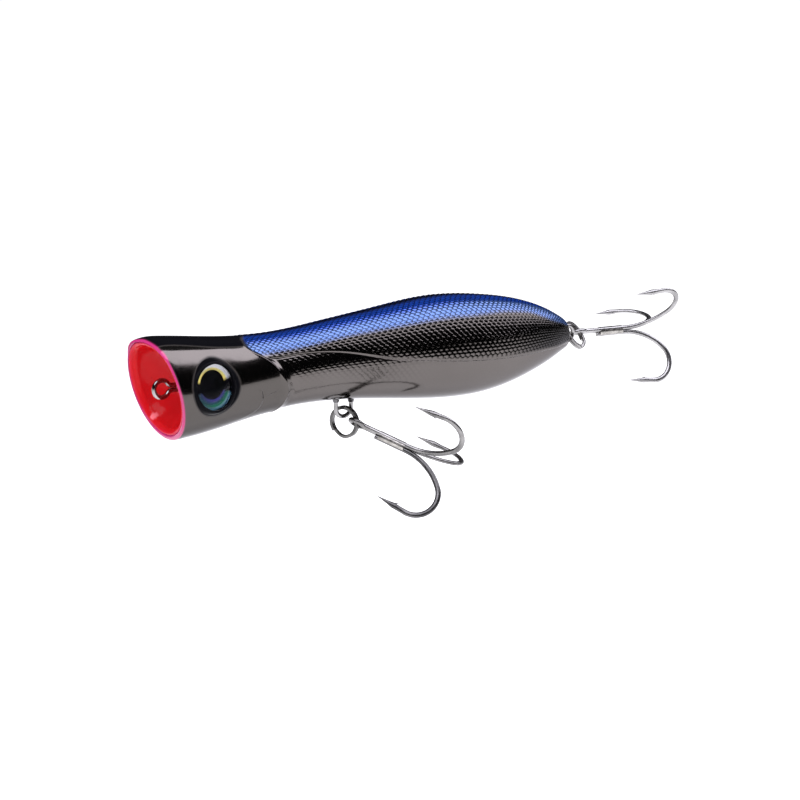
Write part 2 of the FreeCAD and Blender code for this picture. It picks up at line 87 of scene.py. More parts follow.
# Cup's rolled rim: in from the edge, depth, how pink
CUP_RIM = [
    (0.50, 1.75, 0.8), (0.03, 0.30, 0.9), (0.08, 0.12, 0.8), (0.26, 0.01, 0.5), (0.50, 0.03, 0.25),
    (0.78, 0.16, 0.12), (1.02, 0.38, 0.06), (1.18, 0.60, 0.03), (1.32, 0.80, 0.0),
    (1.48, 0.94, 0.0), (1.62, 1.10, 0.0),
]
CUP_GAP = 0.02  # between the cup's rim and the body's lip
STUD_AT = (1.4, 6.8, -10.0)  # depth, y and height in the plane of the mouth
STUD_EDGE = (0.75, 1.05)
STUD_HEIGHT = 0.22
CUP_SEGMENTS = 160
# Bowl's inside and outside: added thickness, mesh angles from the middle, least depth
CUP_BOWLS = ((0.0, (81.0, 0.0, 34), 1.25), (BOWL_WALL, (0.0, 78.0, 12), 0.0))

# ---- sculpted lines: angle round the section in degrees, 90 at the back ----
# Lateral line: x, angle.
LATERAL_LINE = [
    (14.0, 44.0), (27.0, 36.0), (31.0, 32.0), (38.0, 31.0), (45.0, 28.0), (54.0, 19.5),
    (61.3, 10.6), (68.7, 2.6), (79.0, -3.6), (91.0, -7.8), (105.5, -9.8), (119.0, -12.5),
    (129.3, -16.5), (141.0, -25.0), (145.0, -28.0),
]
LINE_STEP = 0.30
LINE_RIDGE = 0.26  # the scaled flank stands out above the line
# Rear edge of the gill plate: angle, x.
GILL_EDGE = [
    (-90.0, 30.5), (-75.0, 32.2), (-60.0, 33.6), (-37.0, 34.5), (-24.0, 34.7), (-10.0, 34.0),
    (3.0, 32.4), (18.0, 30.4), (35.5, 26.7), (48.0, 23.3), (62.0, 22.6), (75.0, 23.6), (90.0, 25.5),
]
GILL_STEP = 0.42
GILL_BEAD = 0.10  # rolled edge of the gill plate
GILL_FADE = 6.5
# Rear edge of the cheek: angle, x.
CHEEK_EDGE = [
    (-64.0, 17.5), (-49.0, 23.3), (-41.0, 25.0), (-31.0, 25.9), (-21.0, 25.8), (-11.0, 25.2),
    (2.0, 24.4),
]
CHEEK_STEP = 0.24
CHEEK_FADE = 3.5
CHEEK_GROOVE = 0.07  # along the cheek's rear edge
# Crease behind the cheek: x, angle.
CREASE = [(25.5, -13.0), (26.4, -20.0), (27.3, -24.0), (29.0, -21.0), (31.0, -18.5)]
CREASE_DEPTH = 0.16
CREASE_WIDTH = 0.38
DEGREE = 0.2  # millimetres to a degree round the head
BROW_HEIGHT = 0.50  # swell along the head above the eye
BROW_ANGLE = 52.0
BROW_WIDTH = 13.0  # degrees

# ---- scales ----
SCALE_LENGTH = 1.9
SCALE_LENGTH_AT_TAIL = 1.15
SCALE_ROW = 4.0  # degrees round the section
SCALE_HEIGHT = 0.22
SCALE_DOME = 0.21
SCALE_LEAN = 0.60  # how much further forward a scale's upper edge ends
SCALE_REACH = 0.92  # half the length of a scale's rounded rear, in scales
SCALE_SLOPE = 0.85  # share of its height a scale loses forwards
LOWER_SCALES = 0.42  # strength of the scales under the line

# ---- eyes ----
EYE_X = 9.3
EYE_Z = 1.4
EYE_RADIUS = 6.2
IRIS_DEPTH = 1.75
PUPIL_SHARE = 0.63
PUPIL_EDGE = 0.012
PUPIL_RISE = 0.10  # above the eye's centre, share of the radius
LENS_CROWN = 0.85
LENS_SPHERE = 13.0
LENS_IOR = 1.12
EYE_BACK = 2.7  # depth of the back of the iris disc
SOCKET_BACK = 2.9
# (out from the eye's edge, height) round the raised socket
SOCKET_SECTION = [
    (0.0, -SOCKET_BACK), (0.0, 0.05), (0.06, 0.18), (0.16, 0.27), (0.30, 0.31), (0.45, 0.29),
    (0.62, 0.20), (0.78, 0.04), (0.92, -0.20), (1.1, -0.6), (1.3, -1.2), (1.5, -1.9),
    (1.6, -SOCKET_BACK),
]
LATHE_SEGMENTS = 128
# Foil of the iris: (distance from its middle in radii, colour)
FOIL_ABOVE = [
    (0.0, (0.78, 0.58, 0.05)), (0.60, (0.84, 0.66, 0.08)), (0.80, (0.88, 0.76, 0.26)),
    (0.86, (1.0, 1.0, 1.0)), (1.0, (1.0, 1.0, 1.0)),
]
FOIL_BELOW = [
    (0.0, (0.02, 0.02, 0.10)), (0.60, (0.05, 0.045, 0.20)), (0.74, (0.02, 0.10, 0.08)),
    (0.84, (0.02, 0.22, 0.10)), (0.92, (0.20, 0.45, 0.50)), (1.0, (0.06, 0.15, 0.28)),
]
# The shell is sunk under the socket, and its inner wall is sunk under the iris.
SHELL_PIT = (3.6, EYE_RADIUS + 0.20, EYE_RADIUS + 0.55)
WALL_PIT = (2.6, 7.0, 9.0)
PIT_REACH = 5.0
EYE_GAP = 0.02  # between the iris or the lens and the socket
IRIS_DISH = 0.12
LENS_ABOVE_IRIS = 0.03

# ---- paint: angles in degrees round the section ----
HEAD_BLACK = 61.0  # lower edge of the head's black at the mouth
HEAD_BLACK_DROP = 7.0  # and how much lower it lies behind the eye
BACK_BLACK = (64.0, 90.0)
BLUE_EDGE = 40.0
DEEP_BLUE_EDGE = 54.0
# Strength of the painted shade that darkens the scaled tail below the blue.
TAIL_PAINTED_SHADE = 0.9
LIP_PAINT = (0.10, 0.60)  # the pink ends here, from the mouth's face
HALO = (7.5, 8.4)  # the painted shade round the eye ends between these radii
# The painted shade round the eye reaches further to the rear, low on the side: a painted dark
# reflection.
HALO_REAR_SWELL = 0.7
HALO_FRONT_CUT = 0.4
HALO_REACH = 6.0

# ---- rings and hooks ----
RING_OUTER = 4.75
RING_INNER = 3.75
RING_COIL = 0.72  # thickness of one of the two coils
RING_CORNER = 0.16  # rounding of the flat wire
RING_WOUND = (38.0, 682.0)  # degrees, from end to end
RING_CROSSING = (332.0, 388.0)  # where it steps to the other coil
RING_GAP = 0.02  # half the gap between the coils
RING_MIDDLE = 0.5 * (RING_INNER + RING_OUTER)
# centre, azimuth and elevation of the axis, angle of the cut end
BELLY_RING = (np.array([60.0, -0.4, -16.9]), 202.0, 0.0, 283.0)
TAIL_RING = (np.array([149.24, 0.89, -1.17]), -63.2, 35.5, 250.0)

HOOK_WIRE = 0.7
HOOK_FORGED_TALL = 0.84
HOOK_FORGED_WIDE = 0.60
HOOK_OFFSET = 0.85
HOOK_SHANK = 16.3
HOOK_FLARE_RADIUS = 17.1
HOOK_FLARE_ANGLE = 49.4
HOOK_BEND_RADIUS = 6.3
HOOK_TOTAL_TURN = 185.4
HOOK_POINT = 9.15
HOOK_TAPER = 5.4
HOOK_SPEAR = 0.22  # how much the point swells before it tapers
HOOK_SPEAR_WIDTH = 1.8
NEEDLE = 0.035  # width at the very tip, share of the wire's
FORGED_FROM_SHANK = (1.0, 8.0)  # the forging starts, past the shank
FORGED_FROM_TIP = (5.5, 9.5)  # and ends, from the tip
BARB_FROM_TIP = 4.2
BARB_LENGTH = 3.0
BARB_ROOT = 0.16  # how far off the wire's middle it starts
BARB_CURL = 0.16
BARB_WIDTH = 0.50
BARB_FLAT = 0.55
BARB_STEPS = 7
TUBE_SIDES = 20
HOOK_EYE_RADIUS = 2.02
HOOK_EYE_NECK = 1.6
SINGLE_HOOK_START = 6.4
# ring, angle round it, slack, azimuth, downward pitch and roll of the shank
BELLY_TREBLE = (BELLY_RING, 179.0, 0.0, -51.6, 22.2, 147.6)
TAIL_TREBLE = (TAIL_RING, 174.3, 0.3, -13.7, -0.7, 159.0)

# Metals: darker and lighter tone, least and greatest roughness, scale of the patches.
# The belly's darker ring and hook steel are painted shade; the tail's brighter hook steel is
# painted light.
METALS = {
    "ring_steel": ((0.12, 0.118, 0.115), (0.27, 0.266, 0.258), 0.22, 0.36),
    "ring_steel_painted_shade": ((0.055, 0.054, 0.052), (0.15, 0.148, 0.143), 0.22, 0.36),
    "hook_steel_painted_shade": ((0.045, 0.045, 0.045), (0.13, 0.128, 0.125), 0.24, 0.40),
    "hook_steel": ((0.10, 0.098, 0.095), (0.25, 0.246, 0.238), 0.22, 0.38),
    "hook_steel_painted_light": ((0.19, 0.188, 0.185), (0.35, 0.346, 0.34), 0.26, 0.40),
    "braze_metal": ((0.18, 0.175, 0.16), (0.40, 0.385, 0.355), 0.20, 0.45, 420.0),
    "wire_steel": ((0.16, 0.158, 0.155), (0.34, 0.336, 0.328), 0.14, 0.26),
    "ball_steel": ((0.55, 0.55, 0.56), (0.75, 0.75, 0.76), 0.06, 0.14),
}

# ---- studio ----
CAMERA_AIM = np.array([80.3, 0.0, -13.1])
CAMERA_DISTANCE = 600.0
CAMERA_AZIMUTH = -36.9
CAMERA_ELEVATION = 11.8
CAMERA_LENS = 91.9
SENSOR_WIDTH = 36.0
FLOOR_Z = -95.0
FLOOR_FRONT = -560.0  # near edge of the floor
FLOOR_FAR = 30000.0
LIGHT_Z = 400.0
# near left corner, far right corner, radiance, tint
SOFTBOX = ((-500.0, -373.0), (1300.0, 4.0), 5.0, (0.95, 0.93, 1.04))
TOP_PANEL = ((-500.0, 8.0), (760.0, 620.0), 0.07, (0.95, 0.96, 1.0))
WORLD_SEEN = (1.18, 1.18, 1.18)
WORLD_REFLECTED = (0.012, 0.012, 0.014)


# ==== numbers and curves ====
def unit(v):
    return v / np.linalg.norm(v, axis=-1, keepdims=True)


def smooth(x, low, high):
    """0 below low, 1 above high, and a smooth step between them."""
    t = np.clip((x - low) / (high - low), 0.0, 1.0)
    return t * t * (3.0 - 2.0 * t)


def fall(x, low, high):
    """1 below low, 0 above high."""
    return 1.0 - smooth(x, low, high)


def bell(x, width):
    return np.exp(-(x / width) ** 2)


def natural_spline(points):
    """A function of x: the natural cubic spline through (x, y) points."""
    xs, ys = (np.array(c, dtype=float) for c in zip(*points))
    n = len(xs)
    gap = np.diff(xs)
    slope = np.diff(ys) / gap
    system = np.eye(n)
    right = np.zeros(n)
    for i in range(1, n - 1):
        system[i, i - 1:i + 2] = gap[i - 1], 2.0 * (gap[i - 1] + gap[i]), gap[i]
        right[i] = 6.0 * (slope[i] - slope[i - 1])
    second = np.linalg.solve(system, right)

    def value(x):
        i = np.clip(np.searchsorted(xs, x, side="right") - 1, 0, n - 2)
        h = gap[i]
        a = (xs[i + 1] - x) / h
        b = 1.0 - a
        cubic = (a ** 3 - a) * second[i] + (b ** 3 - b) * second[i + 1]
        return a * ys[i] + b * ys[i + 1] + cubic * h * h / 6.0

    return value


half_height = natural_spline([(s[0], s[1]) for s in STATIONS])
centre_height = natural_spline([(s[0], s[2]) for s in STATIONS])
lateral_line = natural_spline(LATERAL_LINE)
gill_edge = natural_spline(GILL_EDGE)
cheek_edge = natural_spline(CHEEK_EDGE)


def direction(azimuth, elevation):
    a, e = math.radians(azimuth), math.radians(elevation)
    return np.array([math.cos(a) * math.cos(e), math.sin(a) * math.cos(e), math.sin(e)])


# ==== meshes ====
def make_mesh(name, points, faces, fields=None, weld=0.0):
    """A smooth mesh from points in millimetres; weld joins points nearer than that."""
    mesh = bpy.data.meshes.new(name)
    mesh.from_pydata((np.asarray(points) * MM).tolist(), [], [list(map(int, f)) for f in faces])
    for key, values in (fields or {}).items():
        attribute = mesh.attributes.new(key, "FLOAT", "POINT")
        attribute.data.foreach_set("value", np.asarray(values, dtype=np.float32))
    if weld:
        work = bmesh.new()
        work.from_mesh(mesh)
        bmesh.ops.remove_doubles(work, verts=work.verts, dist=weld * MM)
        bmesh.ops.recalc_face_normals(work, faces=work.faces)
        work.to_mesh(mesh)
        work.free()
    mesh.polygons.foreach_set("use_smooth", [True] * len(mesh.polygons))
    mesh.update()
    return mesh


def make_piece(mesh, material, body, nodes, sharp):
    """Adds a mesh as a piece that rides on a body and stands for CAD nodes."""
    piece = bpy.data.objects.new(mesh.name, mesh)
    bpy.context.collection.objects.link(piece)
    mesh.materials.append(material)
    mesh.set_sharp_from_angle(angle=math.radians(sharp))
    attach(piece, body)
    if nodes:
        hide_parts(*nodes)
    return piece


def grid_faces(rows, columns, close_rows=False):
    """Quads of a grid of closed rows; point (row, column) has index row * columns + column."""
    r = np.arange(rows if close_rows else rows - 1)
    c = np.arange(columns)
    r, c = (g.ravel() for g in np.meshgrid(r, c, indexing="ij"))
    r1 = (r + 1) % rows
    c1 = (c + 1) % columns
    return np.stack([r * columns + c, r * columns + c1, r1 * columns + c1, r1 * columns + c], -1)


def full_turn(count):
    return np.linspace(0.0, 2.0 * math.pi, count, endpoint=False)


def capped_tube(rings):
    """Points and faces of a tube of rings, closed at both ends."""
    count, sides = rings.shape[:2]
    faces = [tuple(f) for f in grid_faces(count, sides)]
    faces.append(tuple(range(sides)))
    faces.append(tuple((count - 1) * sides + i for i in range(sides - 1, -1, -1)))
    return rings.reshape(-1, 3), faces


def lathe(profile, origin, axis, across):
    """Points and faces of a closed profile of (radius, height) turned about an axis."""
    upward = np.cross(axis, across)
    angle = full_turn(LATHE_SEGMENTS)
    around = np.cos(angle)[:, None] * across + np.sin(angle)[:, None] * upward
    radius = np.array([p[0] for p in profile])
    height = np.array([p[1] for p in profile])
    points = origin + around[:, None, :] * radius[None, :, None] + axis * height[None, :, None]
    return points.reshape(-1, 3), grid_faces(LATHE_SEGMENTS, len(profile), True)


# ==== body shell ====
def section_point(x, angle, inset=0.0):
    """Points of the left half's section at x; angle in degrees, 90 at the back."""
    a = np.radians(angle)
    x = x + 0.0 * a
    r = half_height(x) - inset
    return np.stack([x, -WIDTH_RATIO * r * np.cos(a), centre_height(x) + r * np.sin(a)], -1)


def face_x(angle):
    """x where the body's surface meets the plane of the mouth."""
    x = np.full_like(angle, FACE_CENTRE[0])
    for _ in range(12):
        z = centre_height(x) + half_height(x) * np.sin(np.radians(angle))
        x = FACE_CENTRE[0] - (z - FACE_CENTRE[2]) * math.tan(FACE_TILT)
    return x


def in_face_frame(depth, y, up):
    """Points at a depth behind the mouth's face, and at y and a height in its plane."""
    c, s = math.cos(FACE_TILT), math.sin(FACE_TILT)
    return FACE_CENTRE + np.stack([depth * c - up * s, y + 0.0 * depth, depth * s + up * c], -1)


def scale_phase():
    """A function of x that rises by one from one scale to the next."""
    xs = np.linspace(0.0, TAIL_X + 2.0, 600)
    length = SCALE_LENGTH + (SCALE_LENGTH_AT_TAIL - SCALE_LENGTH) * smooth(xs, 104.0, 142.0)
    phase = np.concatenate([[0.0], np.cumsum(np.diff(xs) / length[1:])])
    return lambda x: np.interp(x, xs, phase)


scale_index = scale_phase()


def scale_field(x, angle):
    """Height of overlapping scales, 0 to 1, place across the scale and distance from its edge."""
    s = scale_index(x)
    t = angle / SCALE_ROW
    lowest = np.floor(t)
    both = []
    for row in (lowest, lowest + 1.0):
        across = t - row
        round_edge = np.sqrt(np.maximum(1.0 - across * across, 0.0))
        reach = SCALE_REACH * round_edge - SCALE_LEAN * across
        shift = 0.5 * np.mod(row, 2.0)
        centre = np.floor(s - shift - reach) + 1.0 + shift
        both.append((centre, reach - (s - centre), across))
    upper = both[1][0] < both[0][0]
    _, behind, across = (np.where(upper, high, low) for low, high in zip(*both))
    return 1.0 - SCALE_SLOPE * np.clip(behind, 0.0, 1.0), across, behind


def relief(x, angle):
    """Raised height of the moulded surface, and the fields its paint follows, among them the
    painted shade at the scales' rear edges.
    """
    r = half_height(x)
    arc = (angle - lateral_line(x)) * np.pi / 180.0 * r
    behind_gill = x - gill_edge(angle)
    on_side = smooth(angle, -84.0, -66.0) * fall(angle, 60.0, 76.0)

    plate = np.exp(np.minimum(behind_gill, 0.0) / GILL_FADE)
    plate *= 1.0 - 0.5 * smooth(behind_gill, -0.3, 0.3) - 0.5 * smooth(behind_gill, 0.0, 2.4)
    height = on_side * (GILL_STEP * plate + GILL_BEAD * bell(behind_gill + 0.25, 0.35))

    behind_cheek = x - cheek_edge(angle)
    on_cheek = smooth(angle, -60.0, -46.0) * fall(angle, -14.0, -6.0)
    cheek = fall(behind_cheek, -0.25, 0.25)
    cheek *= np.exp(np.minimum(behind_cheek, 0.0) / CHEEK_FADE)
    height += CHEEK_STEP * on_cheek * cheek
    height -= CHEEK_GROOVE * on_cheek * bell(behind_cheek - 0.4, 0.35)

    away = np.full_like(x, 1e9)
    for (x0, a0), (x1, a1) in zip(CREASE[:-1], CREASE[1:]):
        dx, da = x1 - x0, (a1 - a0) * DEGREE
        u, w = x - x0, (angle - a0) * DEGREE
        along = np.clip((u * dx + w * da) / (dx * dx + da * da), 0.0, 1.0)
        away = np.minimum(away, np.hypot(u - along * dx, w - along * da))
    height -= CREASE_DEPTH * bell(away, CREASE_WIDTH)

    on_head = fall(x, 14.0, 24.0)
    height += BROW_HEIGHT * bell(angle - BROW_ANGLE, BROW_WIDTH) * on_head

    fade = 6.0 - 3.6 * smooth(x, 60.0, 95.0)
    after_gill = smooth(behind_gill, 0.2, 2.2)
    ends = after_gill * fall(x, 138.0, 143.0)
    below = fall(arc, -0.28, 0.12) * np.exp(np.minimum(arc, 0.0) / fade)
    height -= LINE_STEP * ends * below
    ridge = smooth(arc, -0.28, 0.12) * fall(arc, 0.4, 5.5)
    height += LINE_RIDGE * smooth(x, 56.0, 80.0) * fall(x, 134.0, 142.0) * ridge

    sharp, across, behind = scale_field(x, angle)
    upper = smooth(arc, 0.35, 1.1) * smooth(behind_gill, 0.7, 1.7)
    lower = LOWER_SCALES * fall(x, 58.0, 86.0) * smooth(behind_gill, 2.2, 5.5)
    lower *= smooth(arc, -9.5, -3.5) * fall(arc, -0.7, -0.4)
    scaled = np.clip(upper + lower, 0.0, 1.0) * fall(x, 141.4, 142.8)
    size = 0.78 + 0.22 * smooth(r, 8.0, 14.0)
    height += scaled * size * (SCALE_HEIGHT * (sharp - 0.5) - SCALE_DOME * (across ** 2 - 0.33))
    # Painted shade at each scale's rear edge, where its step shades the next scale.
    groove_shade = scaled * fall(behind, 0.10, 0.46)
    return height, scaled, groove_shade, behind_gill


def shell_columns():
    """x of the columns of the shell's mesh, dense at the lip and where the scales are."""
    lip = FACE_CENTRE[0] + np.array(LIP_COLUMNS)
    head = np.concatenate([lip, np.arange(lip[-1] + HEAD_CELL, 20.0, HEAD_CELL)])
    rear = np.linspace(head[-1] + 0.33, TAIL_X - TAIL_EDGE, int((TAIL_X - head[-1]) / SCALE_CELL))
    return np.concatenate([head, rear])


def shell_rows():
    """Angles of the rows of the shell's mesh, from the belly to the back."""
    return np.concatenate([np.linspace(-90.0, -27.0, 26), np.linspace(-27.0, 90.0, 127)[1:]])


def lip_drop(turn):
    """How much lower the mouth's edge lies towards its top."""
    return LIP_TOP_DROP * smooth(np.degrees(np.arcsin(np.sin(turn))), *UPPER_LIP)


def outer_surface(angles, xs):
    """Points of the moulded outside as a grid of angles and columns, and its paint fields."""
    front = face_x(angles)
    reach = np.clip(1.0 - (xs - xs[0]) / SLANT_LENGTH, 0.0, 1.0) ** 2
    x = xs[None, :] + (front - xs[0])[:, None] * reach[None, :]
    angle = np.repeat(angles[:, None], len(xs), 1)
    at_top = smooth(angle, *UPPER_LIP)
    length = LIP_ROUND_LENGTH + (LIP_ROUND_LENGTH_TOP - LIP_ROUND_LENGTH) * at_top
    back = 1.0 - np.clip((x - front[:, None]) / length, 0.0, 1.0)
    rounding = LIP_ROUND + (LIP_ROUND_TOP - LIP_ROUND) * at_top
    inset = rounding * (1.0 - np.sqrt(1.0 - back ** 4))
    base = section_point(x, angle, inset)
    normal = unit(np.cross(np.gradient(base, axis=0), np.gradient(base, axis=1)))
    normal *= np.sign(-normal[..., 1:2] * np.cos(np.radians(angle))[..., None]
                      + normal[..., 2:3] * np.sin(np.radians(angle))[..., None])
    height, scaled, groove_shade, behind_gill = relief(x, angle)
    outer = sink_eye_pit(base + normal * height[..., None], *SHELL_PIT)
    fields = paint_fields(x, angle, base, scaled, groove_shade, behind_gill)
    fields["lip"] = fall(x - front[:, None], *LIP_PAINT)
    return outer, fields


def mouth_loops(turn, edge_row):
    """Columns of points from the lip's outer edge to the end of the pocket."""
    half_up = LIP_HALF_HEIGHT - lip_drop(turn)
    inner = in_face_frame(0.0, -LIP_HALF_WIDTH * np.cos(turn), half_up * np.sin(turn))
    edge_up = (edge_row[:, 2] - FACE_CENTRE[2]) / math.cos(FACE_TILT)
    edge = in_face_frame(0.0, edge_row[:, 1], edge_up)
    inward = np.array([math.cos(FACE_TILT), 0.0, math.sin(FACE_TILT)])
    crown = [edge * (1.0 - f) + inner * f + inward * d for f, d in LIP_CROWN]
    pocket_end = in_face_frame(POCKET_DEPTH, -(LIP_HALF_WIDTH - POCKET_TAPER) * np.cos(turn),
                               (half_up - POCKET_TAPER) * np.sin(turn))
    return crown + [inner + inward * 0.12, pocket_end]


def tail_loops(angles):
    """Columns of points from the tail's rounded edge to the middle of its blunt end."""
    end_r = float(half_height(TAIL_X))
    loops = []
    for a in (20.0, 40.0, 60.0, 80.0):
        x = TAIL_X - TAIL_EDGE * (1.0 - math.sin(math.radians(a)))
        inset = TAIL_EDGE * (1.0 - math.cos(math.radians(a))) + float(half_height(x)) - end_r
        loops.append(section_point(x, angles, inset))
    for share in (0.55, 0.25, 0.02):
        loops.append(section_point(TAIL_X, angles, end_r * (1.0 - share)))
    return loops + [section_point(TAIL_X - WALL, angles, end_r - 0.1)]


def seam_faces(rows, columns):
    """Faces between the outside and the inner wall, along the belly and along the back."""
    faces = []
    first_inner = columns - INNER_COLUMNS
    cut = np.linspace(first_inner - 1, 0, INNER_COLUMNS).round().astype(int)
    for row in (0, rows - 1):
        start = row * columns
        for k in range(INNER_COLUMNS - 1):
            inner_pair = [start + first_inner + k, start + first_inner + k + 1]
            polygon = inner_pair + [start + i for i in range(cut[k + 1], cut[k] + 1)]
            faces.append(tuple(polygon if row == 0 else polygon[::-1]))
    return faces


def body_shell(side):
    """One half of the body: moulded outside, lip, pocket of the mouth and inner wall."""
    angles = shell_rows()
    xs = shell_columns()
    outer, outer_fields = outer_surface(angles, xs)
    tail = tail_loops(angles)
    mouth = mouth_loops(np.radians(angles), outer[:, 0])
    inner_x = np.linspace(INNER_START, TAIL_X - WALL, INNER_COLUMNS)
    wall = [sink_eye_pit(section_point(x, angles, WALL), *WALL_PIT) for x in inner_x]
    outside = [outer[:, i] for i in range(len(xs))][::-1]
    points = np.stack(tail[::-1] + outside + mouth + wall, 1)
    points[..., 1] = np.minimum(points[..., 1], -SEAM_GAP)
    rows, columns = points.shape[:2]

    fields = {}
    first, last = len(tail), len(tail) + len(xs)
    for key, values in outer_fields.items():
        field = np.zeros((rows, columns))
        field[:, first:last] = values[:, ::-1]
        if key == "lip":
            field[:, last:] = 1.0
        else:
            field[:, :first] = values[:, -1:]
        fields[key] = field.ravel()
    faces = [tuple(f) for f in grid_faces(rows, columns)] + seam_faces(rows, columns)
    points = points.reshape(-1, 3)
    if side > 0:
        points = points * np.array([1.0, -1.0, 1.0])
    else:
        faces = [f[::-1] for f in faces]
    return points, faces, fields


def paint_fields(x, angle, base, scaled, groove_shade, behind_gill):
    """Where the back's black, the flank's blue pearl and the painted shade are, 0 to 1: shade round
    the eyes, low on the head, on the scaled tail and at the scales' rear edges.
    """
    on_trunk = smooth(behind_gill, -0.6, 0.8)
    head_edge = HEAD_BLACK - HEAD_BLACK_DROP * smooth(x, -2.0, 16.0)
    black_head = smooth(angle, head_edge - 2.0, head_edge + 2.0) * (1.0 - on_trunk)
    black_top = smooth(angle, *BACK_BLACK) * on_trunk
    # Painted shade round the eye's socket, wider to the rear as a painted dark reflection; it joins
    # the back's black.
    along, away, rear = eye_distances(base)
    low_side = fall(angle, -5.0, 30.0)
    away -= HALO_REAR_SWELL * np.clip(rear / np.maximum(away, 1.0), 0.0, 1.0) * low_side
    away += HALO_FRONT_CUT * np.clip(-rear / HALO_REACH, 0.0, 1.0)
    halo = fall(away, *HALO) * (np.abs(along) < HALO_REACH)
    low = BLUE_EDGE + 3.0 * smooth(x, 40.0, 60.0) + 5.0 * smooth(x, 96.0, 114.0)
    low -= 13.0 * smooth(x, 122.0, 136.0)
    deep_edge = DEEP_BLUE_EDGE + 8.0 * smooth(x, 90.0, 112.0)
    # Painted shade: the scaled tail below the blue is darkened.
    tail = TAIL_PAINTED_SHADE * scaled * smooth(x, 106.0, 130.0) * fall(angle, 16.0, 38.0)
    return {
        "black_back_and_eye_shade": np.clip(black_head + black_top + halo, 0.0, 1.0),
        "blue_pearl": smooth(angle, low - 6.0, low + 5.0) * smooth(behind_gill, 0.1, 1.4),
        "deep_blue": smooth(angle, deep_edge, 70.0),
        # Painted shade: darker plating low on the head, ahead of the gill plate.
        "head_painted_shade": fall(behind_gill, -3.0, 3.0) * fall(angle, -5.0, 25.0),
        "tail_painted_shade": tail,
        "groove_shade": groove_shade,
    }


# ==== eyes ====
def eye_frame(side):
    """Surface point, outward normal and rearward direction at an eye."""
    r = float(half_height(EYE_X))
    up = EYE_Z - float(centre_height(EYE_X))
    y = WIDTH_RATIO * math.sqrt(r * r - up * up)
    slope = float(half_height(EYE_X + 0.5) - half_height(EYE_X - 0.5))
    sideways, upwards = side * y / (WIDTH_RATIO * r), up / r * WIDTH_RATIO
    normal = unit(np.array([-slope * WIDTH_RATIO, sideways, upwards]))
    rearward = unit(X_AXIS - normal * normal[0])
    return np.array([EYE_X, side * y, EYE_Z]), normal, rearward


def eye_distances(points):
    """Distances from the left eye's place: along its axis, away from the axis, rearwards."""
    origin, normal, rearward = eye_frame(-1)
    offset = points - origin
    along = offset @ normal
    away = np.linalg.norm(offset - along[..., None] * normal, axis=-1)
    return along, away, offset @ rearward


def sink_eye_pit(points, depth, full, none):
    """Moves points near the left eye inwards: by depth within full, not at all beyond none."""
    along, away, _ = eye_distances(points)
    sunk = depth * fall(away, full, none) * (np.abs(along) < PIT_REACH)
    return points - eye_frame(-1)[1] * sunk[..., None]


def eye_socket(side):
    profile = [(EYE_RADIUS + out, height) for out, height in SOCKET_SECTION]
    return lathe(profile, *eye_frame(side))


def eye_iris(side):
    """The foil disc, and where each point lies on it: rearwards and up, in radii."""
    rim = EYE_RADIUS - EYE_GAP
    radii = np.linspace(rim, 0.0, 22)
    front = [(r, -IRIS_DEPTH - IRIS_DISH * (r / EYE_RADIUS) ** 2) for r in radii]
    back = [(0.0, -EYE_BACK), (rim, -EYE_BACK)]
    origin, normal, rearward = eye_frame(side)
    points, faces = lathe(front + back, origin, normal, rearward)
    upward = side * np.cross(rearward, normal)
    offset = (points - origin) / EYE_RADIUS
    return points, faces, {"eye_u": offset @ rearward, "eye_v": offset @ upward}


def eye_lens(side):
    rim = EYE_RADIUS - EYE_GAP
    dome = [(r, LENS_CROWN - (LENS_SPHERE - math.sqrt(LENS_SPHERE ** 2 - r * r)))
            for r in np.linspace(0.0, rim - 0.25, 26)]
    last = dome[-1][1]
    dome += [(rim - 0.10, last - 0.10), (rim - 0.02, last - 0.22), (rim, last - 0.40)]
    foot = LENS_ABOVE_IRIS - IRIS_DEPTH
    return lathe(dome + [(rim, foot), (0.0, foot)], *eye_frame(side))


# ==== mouth cup ====
def mouth_cup():
    """The red bowl with its rolled rim, and how pink its edge is."""
    w, h = LIP_HALF_WIDTH - CUP_GAP, LIP_HALF_HEIGHT - CUP_GAP
    rings = [(w - t, h - t, d) for t, d, _ in CUP_RIM]
    for wall, angles, least in CUP_BOWLS:
        wide, high, deep = BOWL_HALF_WIDTH + wall, BOWL_HALF_HEIGHT + wall, BOWL_DEPTH + wall
        for share in np.sin(np.radians(np.linspace(*angles))):
            depth = deep * math.sqrt(1.0 - share * share)
            rings.append((wide * share, high * share, max(depth, least)))
    turn = full_turn(CUP_SEGMENTS)
    drop = lip_drop(turn)
    columns = []
    for a, b, d in rings:
        up = (b - drop * min(1.0, (b / BOWL_HALF_HEIGHT) ** 6)) * np.sin(turn)
        columns.append(in_face_frame(d, a * np.cos(turn), up))
    points = np.stack(columns, 1)
    rows, count = points.shape[:2]
    # A small stud low in the bowl, on the lure's right.
    offset = (points - in_face_frame(*STUD_AT)) * np.array([0.5, 1.0, 1.0])
    spot = fall(np.linalg.norm(offset, axis=-1), *STUD_EDGE)
    spot[:, :6] = 0.0
    spot[:, -CUP_BOWLS[1][1][2]:] = 0.0
    points[..., 0] -= STUD_HEIGHT * spot
    pink = np.zeros(count)
    pink[:len(CUP_RIM)] = [p for _, _, p in CUP_RIM]
    fields = {"pink_rim": np.tile(pink, rows), "stud": spot.ravel()}
    return points.reshape(-1, 3), grid_faces(rows, count, True), fields


